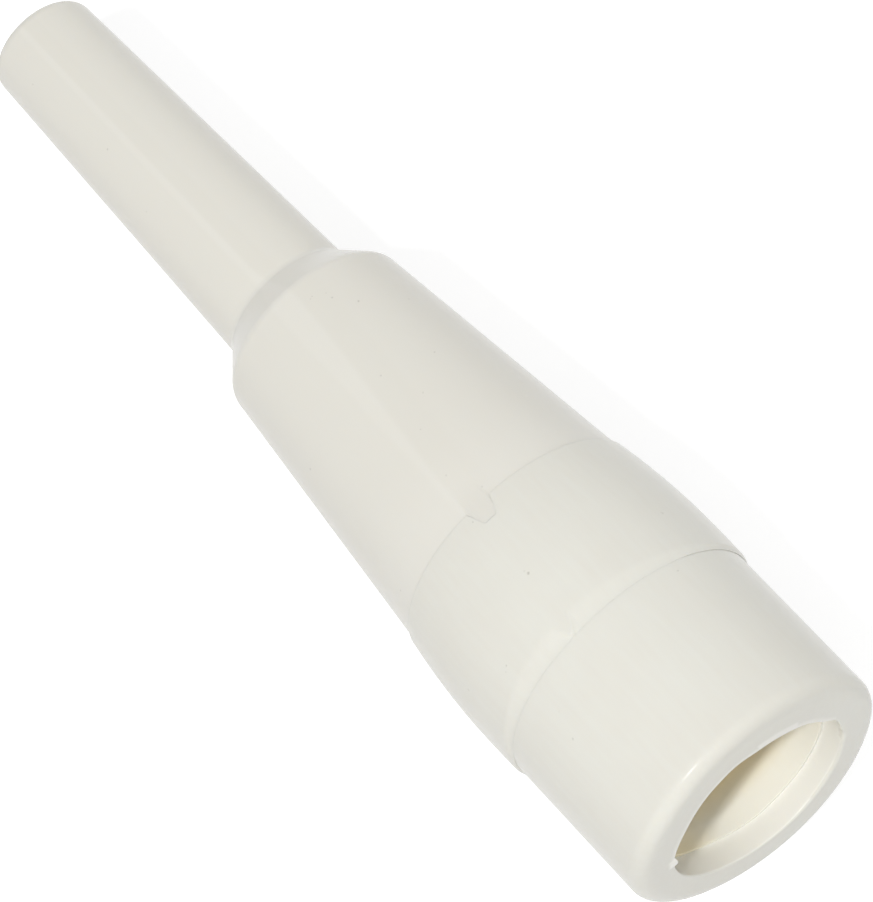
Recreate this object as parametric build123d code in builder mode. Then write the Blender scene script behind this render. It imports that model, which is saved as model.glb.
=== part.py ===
"""Pneumatic exhaust muffler with a swivelling mouth collar.

The X axis is the muffler's axis. The mouth face lies at x = 0 and opens towards +X, and the
tail tube runs towards -X. Every piece is a separate solid, written to its own STEP file.
All lengths are in millimetres.
"""
import os

from build123d import *

os.makedirs("parts", exist_ok=True)

# ---------------------------------------------------------------- driving dimensions
# Outer shells, measured along the axis from the mouth face.
overall_length = 159.0
collar_diameter = 40.0
collar_length = 25.6
mouth_rounding = 2.6
mouth_edge_rounding = 0.3

flare_length = 23.25
flare_front_diameter = 40.84
flare_crown_diameter = 40.92
flare_crown_length = 3.75
flare_back_diameter = 38.22
flare_bulge = 0.43
flare_lip_rounding = 0.35

tail_front_diameter = 37.5
body_length = 44.8
body_back_diameter = 28.8
shoulder_length = 5.7
shoulder_rounding = 1.9
shoulder_root_rounding = 1.5
tube_base_diameter = 20.2
tube_tip_diameter = 16.3
tube_tip_rounding = 2.6

# Mouth bore and its liner.
mouth_opening_diameter = 28.1
sleeve_bore_diameter = 26.5
sleeve_recess = 3.4
sleeve_length = 23.6

# Swivel between the collar's neck and the flare's flange.
running_clearance = 0.08
push_clearance = 0.02
swivel_gap = 0.15
neck_diameter = 31.2
flange_length = 6.0
seal_cord_diameter = 1.3
seal_groove_depth = 1.25
seal_groove_width = 1.7
washer_thickness = 0.8
washer_outer_diameter = 33.4
ring_thickness = 1.0
ring_groove_depth = 0.8
ring_outer_diameter = 33.0
ring_gap_width = 4.0
neck_tail = 2.6

# Socket of the flare and spigot of the tail casing.
chamber_diameter = 33.8
chamber_length = 6.2
socket_diameter = 35.2
spigot_wall = 1.6
casing_seal_thickness = 1.0

# Locating tongue between the two casings, its angle measured from the top towards -Y.
tongue_angle = 23.5
tongue_length = 3.0
tongue_base_width = 4.5
tongue_tip_width = 2.0
tongue_rounding = 0.9
tongue_clearance = 0.05

# Silencing cartridge.
baffle_thickness = 2.0
baffle_hole_diameter = 3.0
baffle_hole_circle = 23.6
baffle_hole_count = 12
core_bore_diameter = 10.4
core_outer_diameter = 12.4
core_hole_diameter = 2.0
core_hole_pitch = 4.5
core_hole_pairs = 3
gauze_thickness = 0.4
ring_count = 6
felt_clearance = 0.15
rear_baffle_hole_diameter = 3.0
rear_baffle_hole_circle = 17.6
rear_baffle_hole_count = 8
rear_boss_length = 3.0
body_bore_back_diameter = 24.6
body_bore_back_wall = 1.8
ledge_width = 0.8
throat_length = 5.5
throat_diameter = 15.2

# Tail tube and outlet.
tube_bore_tip_diameter = 10.8
outlet_diameter = 12.4
outlet_depth = 21.0
plug_length = 10.0
screen_thickness = 0.6
screen_hole_diameter = 0.9
screen_hole_pitch = 1.7
tail_ring_thickness = 1.0
tail_ring_groove_depth = 0.5
tail_ring_bore_diameter = 10.4

# ---------------------------------------------------------------- places along the axis
collar_back = -collar_length
flare_front = collar_back - swivel_gap
flare_back = flare_front - flare_length
body_back = flare_back - body_length
tube_base = body_back - shoulder_length
tail_tip = -overall_length

sleeve_front = -sleeve_recess
sleeve_back = sleeve_front - sleeve_length

flange_back = flare_front - flange_length
washer_front = flange_back - swivel_gap
washer_back = washer_front - washer_thickness
ring_back = washer_back - ring_thickness
neck_back = ring_back - neck_tail
seal_middle = flare_front - flange_length / 2

baffle_front = flange_back - chamber_length
baffle_back = baffle_front - baffle_thickness
spigot_front = baffle_back - casing_seal_thickness

rear_baffle_back = body_back + body_bore_back_wall
rear_baffle_front = rear_baffle_back + baffle_thickness
throat_back = rear_baffle_back - throat_length

outlet_step = tail_tip + outlet_depth
plug_back = outlet_step - plug_length
screen_back = plug_back - screen_thickness
tail_ring_back = screen_back - tail_ring_thickness

# ---------------------------------------------------------------- radii used by several pieces
collar_radius = collar_diameter / 2
neck_radius = neck_diameter / 2
flange_bore_radius = neck_radius + running_clearance
mouth_radius = mouth_opening_diameter / 2
sleeve_bore_radius = sleeve_bore_diameter / 2
socket_radius = socket_diameter / 2
spigot_radius = socket_radius - push_clearance
spigot_bore_radius = socket_radius - spigot_wall
body_bore_back_radius = body_bore_back_diameter / 2
core_radius = core_outer_diameter / 2
gauze_radius = core_radius + push_clearance + gauze_thickness
outlet_radius = outlet_diameter / 2
tail_ring_radius = outlet_radius + tail_ring_groove_depth

# Plane through the axis at the tongue, its Z pointing outwards and its X along the muffler.
tongue_plane = Plane.XY.rotated((tongue_angle, 0, 0))


def body_bore_radius(x):
    """Radius of the tail casing's tapered bore at a place along the axis."""
    share = (flare_back - x) / (flare_back - rear_baffle_back)
    return spigot_bore_radius + (body_bore_back_radius - spigot_bore_radius) * share


def ring_solid(front, back, outer_radius, inner_radius):
    """Plain ring around the axis between two places along it."""
    with BuildPart() as ring:
        with BuildSketch(Plane.XY):
            with BuildLine():
                Polyline((front, inner_radius), (front, outer_radius), (back, outer_radius),
                         (back, inner_radius), close=True)
            make_face()
        revolve(axis=Axis.X)
    return ring.part


def circle_at(edges, x, radius):
    """The circular edges at one place along the axis with one radius."""
    circles = edges.filter_by(GeomType.CIRCLE)
    return circles.filter_by(lambda e: abs(e.center().X - x) < 0.01 and abs(e.radius - radius) < 0.01)


def finish(piece, name):
    """Name a finished piece and write it."""
    piece.part.label = name
    export_step(piece.part, f"parts/{name}.step")


# ---------------------------------------------------------------- mouth collar
# Thick moulded cuff. Its neck reaches into the flare casing and turns there.
with BuildPart() as mouth_collar:
    with BuildSketch(Plane.XY):
        with BuildLine():
            Polyline((0, mouth_radius), (0, collar_radius), (collar_back, collar_radius),
                     (collar_back, neck_radius), (neck_back, neck_radius),
                     (neck_back, sleeve_bore_radius), (sleeve_back, sleeve_bore_radius),
                     (sleeve_back, mouth_radius), close=True)
        make_face()
    revolve(axis=Axis.X)
    fillet(circle_at(mouth_collar.edges(), 0, collar_radius), mouth_rounding)
    fillet(circle_at(mouth_collar.edges(), 0, mouth_radius), mouth_edge_rounding)
    add(ring_solid(seal_middle + seal_groove_width / 2, seal_middle - seal_groove_width / 2,
                   neck_radius + running_clearance, neck_radius - seal_groove_depth),
        mode=Mode.SUBTRACT)
    add(ring_solid(washer_back, ring_back, neck_radius + running_clearance,
                   neck_radius - ring_groove_depth), mode=Mode.SUBTRACT)
finish(mouth_collar, "mouth_collar")

# ---------------------------------------------------------------- inlet sleeve
# Liner of the mouth's bore, set back behind the rim and pushed in to the collar's inner shoulder.
with BuildPart() as inlet_sleeve:
    add(ring_solid(sleeve_front, sleeve_back, mouth_radius - push_clearance, sleeve_bore_radius))
finish(inlet_sleeve, "inlet_sleeve")

# ---------------------------------------------------------------- collar seal
with BuildPart() as collar_seal:
    with BuildSketch(Plane.XY):
        with Locations((seal_middle, neck_radius - seal_groove_depth + seal_cord_diameter / 2)):
            Circle(seal_cord_diameter / 2)
    revolve(axis=Axis.X)
finish(collar_seal, "collar_seal")

# ---------------------------------------------------------------- thrust washer
with BuildPart() as thrust_washer:
    add(ring_solid(washer_front, washer_back, washer_outer_diameter / 2, neck_radius + push_clearance))
finish(thrust_washer, "thrust_washer")

# ---------------------------------------------------------------- collar retaining ring
# Open spring ring in the neck's last groove. It keeps the collar from pulling out.
with BuildPart() as collar_retaining_ring:
    add(ring_solid(washer_back, ring_back, ring_outer_diameter / 2,
               neck_radius - ring_groove_depth + push_clearance))
    with BuildSketch(Plane.YZ.offset(ring_back)):
        with Locations((0, -ring_outer_diameter / 2)):
            Rectangle(ring_gap_width, ring_outer_diameter / 2)
    extrude(amount=ring_thickness, mode=Mode.SUBTRACT)
finish(collar_retaining_ring, "collar_retaining_ring")

# ---------------------------------------------------------------- locating tongue
# Outline of the tongue, seen from outside, on the plane of the tongue.
tongue_root = flare_back - tongue_length
tongue_tip = flare_back + tongue_length


def tongue_outline(margin):
    """Rounded tongue outline grown by a margin."""
    with BuildSketch() as outline:
        with BuildLine():
            Polyline((tongue_root, -tongue_base_width / 2 - margin),
                     (flare_back, -tongue_base_width / 2 - margin),
                     (tongue_tip + margin, -tongue_tip_width / 2 - margin),
                     (tongue_tip + margin, tongue_tip_width / 2 + margin),
                     (flare_back, tongue_base_width / 2 + margin),
                     (tongue_root, tongue_base_width / 2 + margin), close=True)
        make_face()
        fillet(outline.vertices().sort_by(Axis.X)[-2:], tongue_rounding + margin)
    return outline.sketch


# ---------------------------------------------------------------- flare casing
# Flared front casing. Its inner flange turns on the collar's neck, and its back is a socket.
with BuildPart() as flare_casing:
    crown_x = flare_front - flare_crown_length
    with BuildSketch(Plane.XY):
        with BuildLine():
            arc = SagittaArc((flare_back, flare_back_diameter / 2), (crown_x, flare_crown_diameter / 2),
                             flare_bulge)
            Polyline(arc @ 1, (flare_front, flare_front_diameter / 2),
                     (flare_front, flange_bore_radius), (flange_back, flange_bore_radius),
                     (flange_back, chamber_diameter / 2), (baffle_front, chamber_diameter / 2),
                     (baffle_front, socket_radius), (flare_back, socket_radius), arc @ 0)
        make_face()
    revolve(axis=Axis.X)
    fillet(circle_at(flare_casing.edges(), flare_front, flare_front_diameter / 2), flare_lip_rounding)
    with BuildSketch(tongue_plane):
        add(tongue_outline(tongue_clearance))
    extrude(amount=flare_crown_diameter / 2, mode=Mode.SUBTRACT)
finish(flare_casing, "flare_casing")

# ---------------------------------------------------------------- tail casing
# The tongue, cut from a ring that carries on the tail casing's surface into the flare.
with BuildPart() as locating_tongue:
    add(ring_solid(tongue_tip, tongue_root, tail_front_diameter / 2, spigot_radius - spigot_wall / 2))
    with BuildSketch(tongue_plane):
        add(tongue_outline(0))
    extrude(amount=flare_crown_diameter / 2, mode=Mode.INTERSECT)

# Tapered body, shoulder and tail tube in one moulding, with a spigot for the flare's socket.
with BuildPart() as tail_casing:
    with BuildSketch(Plane.XY):
        with BuildLine():
            Polyline((spigot_front, 0), (spigot_front, spigot_radius), (flare_back, spigot_radius),
                     (flare_back, tail_front_diameter / 2), (body_back, body_back_diameter / 2),
                     (tube_base, tube_base_diameter / 2), (tail_tip, tube_tip_diameter / 2),
                     (tail_tip, 0), close=True)
        make_face()
    revolve(axis=Axis.X)
    fillet(circle_at(tail_casing.edges(), body_back, body_back_diameter / 2), shoulder_rounding)
    fillet(circle_at(tail_casing.edges(), tube_base, tube_base_diameter / 2), shoulder_root_rounding)
    fillet(circle_at(tail_casing.edges(), tail_tip, tube_tip_diameter / 2),
           min(tube_tip_rounding, (tube_tip_diameter - outlet_diameter) / 2 - 0.3))
    add(locating_tongue.part)
    with BuildSketch(Plane.XY):
        with BuildLine():
            Polyline((spigot_front, 0), (spigot_front, spigot_bore_radius),
                     (flare_back, spigot_bore_radius),
                     (rear_baffle_back, body_bore_back_radius),
                     (rear_baffle_back, body_bore_back_radius - ledge_width),
                     (throat_back, throat_diameter / 2),
                     (outlet_step, tube_bore_tip_diameter / 2), (outlet_step, outlet_radius),
                     (tail_tip, outlet_radius), (tail_tip, 0), close=True)
        make_face()
    revolve(axis=Axis.X, mode=Mode.SUBTRACT)
    add(ring_solid(screen_back, tail_ring_back, tail_ring_radius,
                   outlet_radius - tail_ring_groove_depth), mode=Mode.SUBTRACT)
finish(tail_casing, "tail_casing")

# ---------------------------------------------------------------- casing seal
# Flat gasket between the front baffle and the tail casing's spigot.
with BuildPart() as casing_seal:
    add(ring_solid(baffle_back, spigot_front, spigot_radius, spigot_bore_radius))
finish(casing_seal, "casing_seal")

# ---------------------------------------------------------------- front baffle
# Pierced disc on the flare's inner step. It carries the core tube.
with BuildPart() as front_baffle:
    add(ring_solid(baffle_front, baffle_back, spigot_radius, core_radius + push_clearance))
    with BuildSketch(Plane.YZ.offset(baffle_back)):
        with PolarLocations(baffle_hole_circle / 2, baffle_hole_count):
            Circle(baffle_hole_diameter / 2)
    extrude(amount=baffle_thickness, mode=Mode.SUBTRACT)
finish(front_baffle, "front_baffle")

# ---------------------------------------------------------------- perforated core tube
core_back = rear_baffle_front
perforated_start = baffle_back - core_hole_pitch
perforated_length = perforated_start - core_back - rear_boss_length - core_hole_pitch / 2
core_hole_rows = int(perforated_length // core_hole_pitch) + 1

with BuildPart() as perforated_core_tube:
    add(ring_solid(baffle_front, core_back, core_radius, core_bore_diameter / 2))
    for row in range(core_hole_rows):
        row_x = perforated_start - row * core_hole_pitch
        for pair in range(core_hole_pairs):
            turn = 180 / core_hole_pairs * (pair + (row % 2) / 2)
            with BuildSketch(Plane.XY.rotated((turn, 0, 0))):
                with Locations((row_x, 0)):
                    Circle(core_hole_diameter / 2)
            extrude(amount=core_outer_diameter, both=True, mode=Mode.SUBTRACT)
finish(perforated_core_tube, "perforated_core_tube")

# ---------------------------------------------------------------- core gauze sleeve
with BuildPart() as core_gauze_sleeve:
    add(ring_solid(baffle_back, core_back, gauze_radius, core_radius + push_clearance))
finish(core_gauze_sleeve, "core_gauze_sleeve")

# ---------------------------------------------------------------- felt absorber rings
# Rings of equal length fill the space between the baffles and shrink with the bore.
felt_length = (baffle_back - rear_baffle_front) / ring_count
for index in range(ring_count):
    felt_front = baffle_back - index * felt_length
    felt_back = felt_front - felt_length
    felt_radius = min(body_bore_radius(felt_back), spigot_bore_radius) - felt_clearance
    with BuildPart() as absorber_ring:
        add(ring_solid(felt_front, felt_back, felt_radius, gauze_radius + push_clearance))
    finish(absorber_ring, f"absorber_ring_{index + 1}")

# ---------------------------------------------------------------- rear baffle
# Pierced disc on the ledge at the shoulder, with a boss that closes the core tube.
with BuildPart() as rear_baffle:
    with BuildSketch(Plane.XY):
        with BuildLine():
            Polyline((rear_baffle_back, 0), (rear_baffle_back, body_bore_back_radius - push_clearance),
                     (rear_baffle_front, body_bore_back_radius - push_clearance),
                     (rear_baffle_front, core_bore_diameter / 2 - push_clearance),
                     (rear_baffle_front + rear_boss_length, core_bore_diameter / 2 - push_clearance),
                     (rear_baffle_front + rear_boss_length, 0), close=True)
        make_face()
    revolve(axis=Axis.X)
    with BuildSketch(Plane.YZ.offset(rear_baffle_back)):
        with PolarLocations(rear_baffle_hole_circle / 2, rear_baffle_hole_count):
            Circle(rear_baffle_hole_diameter / 2)
    extrude(amount=baffle_thickness, mode=Mode.SUBTRACT)
finish(rear_baffle, "rear_baffle")

# ---------------------------------------------------------------- tail plug
with BuildPart() as tail_plug:
    with BuildSketch(Plane.YZ.offset(plug_back)):
        Circle(outlet_radius - push_clearance)
    extrude(amount=plug_length)
finish(tail_plug, "tail_plug")

# ---------------------------------------------------------------- tail screen
screen_field_radius = tail_ring_bore_diameter / 2 - screen_hole_diameter / 2
with BuildPart() as tail_screen:
    with BuildSketch(Plane.YZ.offset(screen_back)):
        Circle(outlet_radius - push_clearance)
        with GridLocations(screen_hole_pitch, screen_hole_pitch, 7, 7) as grid:
            inside = [place for place in grid.local_locations
                      if place.position.length < screen_field_radius]
        with Locations(*inside):
            Circle(screen_hole_diameter / 2, mode=Mode.SUBTRACT)
    extrude(amount=screen_thickness)
finish(tail_screen, "tail_screen")

# ---------------------------------------------------------------- tail retaining ring
with BuildPart() as tail_retaining_ring:
    add(ring_solid(screen_back, tail_ring_back, tail_ring_radius - push_clearance,
               tail_ring_bore_diameter / 2))
finish(tail_retaining_ring, "tail_retaining_ring")
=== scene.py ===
"""Pneumatic exhaust muffler in off-white moulded plastic, with a swivelling mouth collar.

The X axis runs through the muffler. The mouth lies at x = 0 and opens towards +X.
"""
import math

import bmesh
import bpy
from mathutils import Matrix, Vector, noise


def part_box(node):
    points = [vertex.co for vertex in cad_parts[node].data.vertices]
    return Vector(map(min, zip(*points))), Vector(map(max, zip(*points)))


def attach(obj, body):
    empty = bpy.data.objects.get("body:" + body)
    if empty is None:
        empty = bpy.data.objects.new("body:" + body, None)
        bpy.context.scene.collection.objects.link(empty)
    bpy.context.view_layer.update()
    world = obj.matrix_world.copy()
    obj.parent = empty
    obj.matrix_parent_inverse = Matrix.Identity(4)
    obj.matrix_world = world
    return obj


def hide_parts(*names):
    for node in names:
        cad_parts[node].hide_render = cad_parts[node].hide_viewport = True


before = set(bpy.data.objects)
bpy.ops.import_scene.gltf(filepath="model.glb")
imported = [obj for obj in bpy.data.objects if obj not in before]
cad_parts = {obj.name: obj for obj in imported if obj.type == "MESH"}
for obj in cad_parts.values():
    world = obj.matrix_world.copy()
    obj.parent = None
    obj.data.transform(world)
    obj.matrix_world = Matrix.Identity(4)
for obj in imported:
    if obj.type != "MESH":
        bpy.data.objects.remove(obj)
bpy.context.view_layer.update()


# ------------------------------------------------------------------ mouth collar
# Thick cuff with the round inlet mouth, injection moulded in off-white polypropylene.
# Its neck is pushed into the flare casing and turns there. The gate was trimmed at the bore's
# edge, which left a small curl of flash on one side and a nick on the other.
mm = 0.001


def rounded(corners, row=1.6 * mm, steps=7):
    """Outline of a turned ring from (x, radius, rounding) corners, in rows that a lathe follows."""
    outline = []
    count = len(corners)
    ends = []
    for place in range(count):
        corner = Vector(corners[place][:2])
        before = (Vector(corners[place - 1][:2]) - corner)
        after = (Vector(corners[(place + 1) % count][:2]) - corner)
        rounding = corners[place][2]
        turn = math.pi - before.angle(after)
        if rounding == 0 or turn < 0.001:
            ends.append([corner])
            continue
        reach = rounding * math.tan(turn / 2)
        start = corner + before.normalized() * reach
        finish = corner + after.normalized() * reach
        middle = (before.normalized() + after.normalized()).normalized()
        centre = corner + middle * (rounding / math.cos(turn / 2))
        first = start - centre
        side = 1 if first.cross(finish - centre) > 0 else -1
        arc = []
        for step in range(steps + 1):
            swing = side * turn * step / steps
            spoke = Vector((first.x * math.cos(swing) - first.y * math.sin(swing),
                            first.x * math.sin(swing) + first.y * math.cos(swing)))
            arc.append(centre + spoke)
        ends.append(arc)
    support = 0.12 * mm
    for place in range(count):
        outline.extend(ends[place])
        start = ends[place][-1]
        finish = ends[(place + 1) % count][0]
        run = (finish - start).length
        if run > 4 * support:
            pieces = max(1, math.ceil((run - 2 * support) / row))
            along = (finish - start) / run
            for piece in range(pieces + 1):
                outline.append(start + along * (support + (run - 2 * support) * piece / pieces))
    return outline


def square_ring(front, back, outer, inner, outer_edge, inner_edge, **rows):
    """Outline of a flat ring with its outer and inner edges rounded."""
    return rounded([(front, inner, inner_edge), (front, outer, outer_edge),
                    (back, outer, outer_edge), (back, inner, inner_edge)], **rows)


def spokes(coarse=2.0, fine=()):
    """Angles in degrees around the axis, with fine stretches given as (from, to, step)."""
    angles = []
    angle = 0.0
    while angle < 360 - 0.001:
        angles.append(angle)
        here = [stretch for stretch in fine if stretch[0] <= angle < stretch[1]]
        step = here[0][2] if here else coarse
        nexts = [stretch[0] for stretch in fine if angle < stretch[0] < angle + step]
        angle = min([angle + step] + nexts)
    return angles


def placed(name, data):
    """A new object of the scene."""
    piece = bpy.data.objects.new(name, data)
    bpy.context.scene.collection.objects.link(piece)
    return piece


def skin_over(shell, rows):
    """Faces between each row of points and the next, each row closed round the axis."""
    for this, after in zip(rows, rows[1:]):
        for place in range(len(this)):
            beside = (place + 1) % len(this)
            shell.faces.new((this[place], this[beside], after[beside], after[place]))


def finished(shell, name):
    """The smooth-shaded object of a bmesh."""
    for face in shell.faces:
        face.smooth = True
    mesh = bpy.data.meshes.new(name)
    shell.to_mesh(mesh)
    shell.free()
    return placed(name, mesh)


def turned(name, outline, angles, change=None, closed=True):
    """Mesh turned about the X axis. change moves a point given its x, radius and angle."""
    shell = bmesh.new()
    rows = []
    for x, radius in outline:
        row = []
        for angle in angles:
            here, out = change(x, radius, angle) if change else (x, radius)
            turn = math.radians(angle)
            row.append(shell.verts.new((here, out * math.cos(turn), out * math.sin(turn))))
        rows.append(row)
    skin_over(shell, rows + rows[:1] if closed else rows)
    bmesh.ops.remove_doubles(shell, verts=shell.verts, dist=1e-7)
    bmesh.ops.recalc_face_normals(shell, faces=shell.faces)
    return finished(shell, name)


def bump_between(angle, centre, width):
    """1 at the centre angle, falling smoothly to 0 at width degrees from it."""
    away = abs((angle - centre + 180) % 360 - 180) / width
    return 0.5 + 0.5 * math.cos(math.pi * away) if away < 1 else 0.0


def tone(piece, share):
    """Stores how far each point's colour goes to the second tone, from its x, radius and angle."""
    levels = []
    for point in piece.data.vertices:
        x, y, z = point.co
        levels.append(share(x, math.hypot(y, z), math.degrees(math.atan2(z, y)) % 360))
    piece.data.attributes.new("tone", "FLOAT", "POINT").data.foreach_set("value", levels)


def fit(piece, material, solid, body):
    """Gives a piece its material and puts it in the place of its solid."""
    if not piece.data.materials:
        piece.data.materials.append(material)
    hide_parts(solid)
    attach(piece, body)


def wire(tree, output, place):
    """Joins an output to the input it feeds."""
    tree.links.new(output, place)


def node(tree, kind, inputs=(), **settings):
    """A node with its settings, each input fed from a socket or set to a plain value."""
    made = tree.nodes.new(kind)
    for setting, value in settings.items():
        setattr(made, setting, value)
    for place, value in dict(inputs).items():
        if isinstance(value, bpy.types.NodeSocket):
            wire(tree, value, made.inputs[place])
        else:
            made.inputs[place].default_value = value
    return made


def node_group(name, kind, inputs, outputs):
    """A node group, what it is given and what it gives. Each socket is (name, kind, default)."""
    tree = bpy.data.node_groups.new(name, kind)
    for way, sockets in (("INPUT", inputs), ("OUTPUT", outputs)):
        for label, sort, *default in sockets:
            made = tree.interface.new_socket(label, in_out=way, socket_type="NodeSocket" + sort)
            if default:
                made.default_value = default[0]
    return tree, tree.nodes.new("NodeGroupInput").outputs, tree.nodes.new("NodeGroupOutput").inputs


def arithmetic(tree, operation, *values, clamp=False):
    """The result of a Math node fed with sockets or plain numbers."""
    return node(tree, "ShaderNodeMath", enumerate(values), operation=operation, use_clamp=clamp).outputs[0]


def blended(tree, share, first, second):
    """Colour between two, each a socket or plain numbers."""
    ends = {name: (*colour, 1) if isinstance(colour, tuple) else colour
            for name, colour in (("A", first), ("B", second))}
    return node(tree, "ShaderNodeMix", {"Factor": share, **ends}, data_type="RGBA").outputs["Result"]


def stretched(tree, place, by):
    """The place with its three parts multiplied, which stretches a pattern laid on it."""
    return node(tree, "ShaderNodeVectorMath", {0: place, 1: by}, operation="MULTIPLY").outputs[0]


def mottled(tree, place, scale, **more):
    """Cloudy noise from 0 to 1, with detail, roughness and distortion where they are given."""
    values = {"Vector": place, "Scale": scale, **{name.title(): value for name, value in more.items()}}
    return node(tree, "ShaderNodeTexNoise", values).outputs["Fac"]


def ramp(tree, value, low, high):
    """0 where the value is low, 1 where it is high, and even between."""
    ends = {"Value": value, "From Min": low, "From Max": high}
    return node(tree, "ShaderNodeMapRange", ends).outputs["Result"]


def finish(name):
    """A new material, its tree, the inputs of its shader and the place on the piece."""
    material = bpy.data.materials.new(name)
    material.use_nodes = True
    tree = material.node_tree
    return (material, tree, tree.nodes["Principled BSDF"].inputs,
            tree.nodes.new("ShaderNodeTexCoord").outputs["Object"])


def relief(tree, shader, height, strength, depth, invert=False):
    """Fine relief in a surface, from a height and its depth in metres."""
    bump = node(tree, "ShaderNodeBump", {"Height": height, "Strength": strength, "Distance": depth},
                invert=invert)
    wire(tree, bump.outputs["Normal"], shader["Normal"])


def settle(shader, values):
    """Sets the shader's plain values."""
    for name, value in values.items():
        shader[name].default_value = value


# The skin of every moulded piece: slow clouds in the tone, streaks along the axis where the
# mould was polished, fine tooling grain and handling scuffs.
moulded_skin, given, gives = node_group(
    "moulded skin", "ShaderNodeTree",
    [("Position", "Vector"), ("Cloud Size", "Float", 70.0), ("Grain Size", "Float", 1800.0)],
    [("Clouds", "Float"), ("Streaks", "Float"), ("Grain", "Float"), ("Scuffs", "Float")])
skin_place = given["Position"]
scuffed = mottled(moulded_skin, stretched(moulded_skin, skin_place, (0.25, 1.0, 1.0)), 900.0,
                  detail=5.0, roughness=0.7)
polished = stretched(moulded_skin, skin_place, (0.1, 1.0, 1.0))
for name, level in (
        ("Clouds", mottled(moulded_skin, skin_place, given["Cloud Size"], detail=3.0, roughness=0.55)),
        ("Streaks", mottled(moulded_skin, polished, 1100.0, detail=2.0)),
        ("Grain", mottled(moulded_skin, skin_place, given["Grain Size"], detail=4.0)),
        ("Scuffs", ramp(moulded_skin, scuffed, 0.62, 0.74))):
    wire(moulded_skin, level, gives[name])

# One dark fleck caught in the plastic: 1 inside a ragged spot, 0 outside it.
dark_fleck, given, gives = node_group(
    "dark fleck", "ShaderNodeTree",
    [("Position", "Vector"), ("Centre", "Vector"), ("Size", "Float", 0.3 * mm), ("Depth", "Float", 1.0)],
    [("Mask", "Float")])
fleck_far = node(dark_fleck, "ShaderNodeVectorMath", {0: given["Position"], 1: given["Centre"]},
                 operation="DISTANCE")
share = arithmetic(dark_fleck, "DIVIDE", fleck_far.outputs["Value"], given["Size"])
uneven = arithmetic(dark_fleck, "MULTIPLY", mottled(dark_fleck, given["Position"], 3500.0, detail=3.0), 1.8)
inside = arithmetic(dark_fleck, "SUBTRACT", 1.75, arithmetic(dark_fleck, "ADD", share, uneven), clamp=True)
wire(dark_fleck, arithmetic(dark_fleck, "MULTIPLY", inside, given["Depth"], clamp=True), gives["Mask"])


def on_surface(x, degrees, radius):
    """A point from its place along the axis in millimetres, its angle and its radius in metres."""
    turn = math.radians(degrees)
    return Vector((x * mm, radius * math.cos(turn), radius * math.sin(turn)))


fleck_brown = (0.22, 0.21, 0.17)
depth_of_glow = (1.2, 1.0, 0.7)


def moulded_plastic(name, light, deep, roughness, second=None, flecks=(), cloud_size=70.0):
    """Satin moulded plastic between two close tones, with a second colour where the piece's
    tone attribute asks for it, and dark flecks at given places."""
    material, tree, shader, place = finish(name)
    skin = node(tree, "ShaderNodeGroup", {"Position": place, "Cloud Size": cloud_size},
                node_tree=moulded_skin).outputs
    mottle = arithmetic(tree, "MULTIPLY", skin["Clouds"], 0.6)
    tones = node(tree, "ShaderNodeValToRGB",
                 {"Fac": arithmetic(tree, "MULTIPLY_ADD", skin["Streaks"], 0.4, mottle)})
    for end, position, colour in zip(tones.color_ramp.elements, (0.35, 0.65), (deep, light)):
        end.position = position
        end.color = (*colour, 1)
    colour = tones.outputs["Color"]
    if second:
        level = node(tree, "ShaderNodeAttribute", attribute_name="tone")
        colour = blended(tree, level.outputs["Fac"], colour, second)
    spotted = None
    for centre, size, depth in flecks:
        fleck = {"Position": place, "Centre": centre, "Size": size * mm, "Depth": depth}
        mask = node(tree, "ShaderNodeGroup", fleck, node_tree=dark_fleck).outputs["Mask"]
        spotted = arithmetic(tree, "MAXIMUM", spotted, mask) if spotted else mask
    if spotted:
        colour = blended(tree, spotted, colour, fleck_brown)
    wire(tree, colour, shader["Base Color"])
    wire(tree, arithmetic(tree, "MULTIPLY_ADD", skin["Scuffs"], 0.015, roughness), shader["Roughness"])
    relief(tree, shader, skin["Grain"], 0.12, 0.03 * mm)
    settle(shader, {"Subsurface Weight": 0.12, "Subsurface Radius": depth_of_glow,
                    "Subsurface Scale": 1.0 * mm, "IOR": 1.49})
    return material


def flecks_on(skin_radius, spots):
    """Flecks on a skin from (x in millimetres, angle, size, depth) and its radius at x."""
    return [(on_surface(x, angle, skin_radius(x * mm)), size, depth) for x, angle, size, depth in spots]


shell_light = (0.761, 0.755, 0.690)
shell_deep = (0.747, 0.731, 0.662)
# Pale tone for the collar: painted light on the bore's wall, and the whitened curl of flash.
lit_bore_and_flash_pale = (0.87, 0.86, 0.80)
shell_shade = (0.70, 0.678, 0.603)
shell_roughness = 0.26

collar_low, collar_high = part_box("mouth_collar")
sleeve_low, sleeve_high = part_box("inlet_sleeve")
flare_low, flare_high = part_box("flare_casing")
seal_low, seal_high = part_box("collar_seal")
clip_low, clip_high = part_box("collar_retaining_ring")
mouth_face = collar_high.x
collar_radius = collar_high.z
neck_back = collar_low.x
flare_front = flare_high.x
collar_back = flare_front + 0.005 * mm
neck_radius = 15.6 * mm
mouth_radius = 14.05 * mm
inlet_radius = 13.25 * mm
face_rounding = 2.6 * mm
edge_rounding = 0.6 * mm
groove_edge = 0.1 * mm
groove_side = 0.2 * mm
seal_floor = seal_high.z - (seal_high.x - seal_low.x)
clip_floor = 14.8 * mm

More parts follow.
